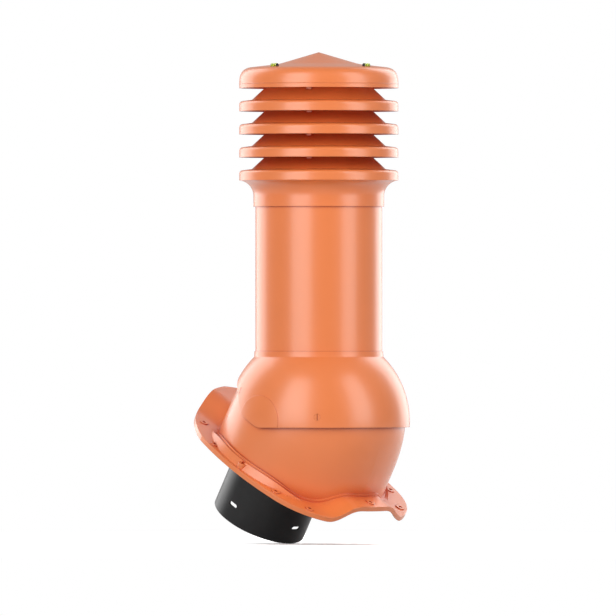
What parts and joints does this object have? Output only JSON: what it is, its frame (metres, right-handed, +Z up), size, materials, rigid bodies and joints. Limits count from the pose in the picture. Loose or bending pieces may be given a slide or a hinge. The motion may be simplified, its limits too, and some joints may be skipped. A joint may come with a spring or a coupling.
{
  "type": "roof vent",
  "caption": "Tile-roof ventilation pipe: louvred round head on a plain tube, a ball hood that tilts on a domed wave-shaped base flange, and a slanting round duct spigot below.",
  "frame": {"origin": "centre of the duct spigot's open lower end", "axes": "+Z up along the tube, +X down the roof in plan, +Y along the ridge; the base lies on a roof of 30 degrees, so the spigot leaves along -Z leaned 30 degrees towards -X"},
  "size_m": [0.2899, 0.2542, 0.6394],
  "materials": {
    "shell": "satin terracotta plastic with a fine moulded grain",
    "inner_plastic": "satin black plastic",
    "foam": "expanded polystyrene foam",
    "rubber": "matt rubber",
    "steel": "galvanised",
    "vial": "clear vial of yellow-green liquid"
  },
  "bodies": {
    "head": {"top_cap": "shell", "spirit_level_front": "vial", "spirit_level_side": "vial", "louvre_ring_1": "shell", "louvre_ring_2": "shell", "louvre_ring_3": "shell", "head_base": "shell", "outer_tube": "shell", "inner_duct": "inner_plastic", "insulation_sleeve": "foam", "tilt_hood": "shell", "pivot_pin_left": "inner_plastic", "pivot_pin_right": "inner_plastic", "locking_screw_1": "shell", "locking_screw_2": "shell", "locking_screw_3": "shell", "locking_screw_4": "shell"},
    "base": {"base_shell": "shell", "duct_spigot": "inner_plastic", "spigot_screws": "steel", "flexible_boot": "rubber"}
  },
  "joints": [
    {"name": "hood_tilt", "type": "hinge", "parent": "base", "child": "head", "pos_m": [0.10607, 0, 0.12871], "axis": [0, 1, 0], "range_deg": [-15, 15], "deforming": ["flexible_boot"]}
  ]
}
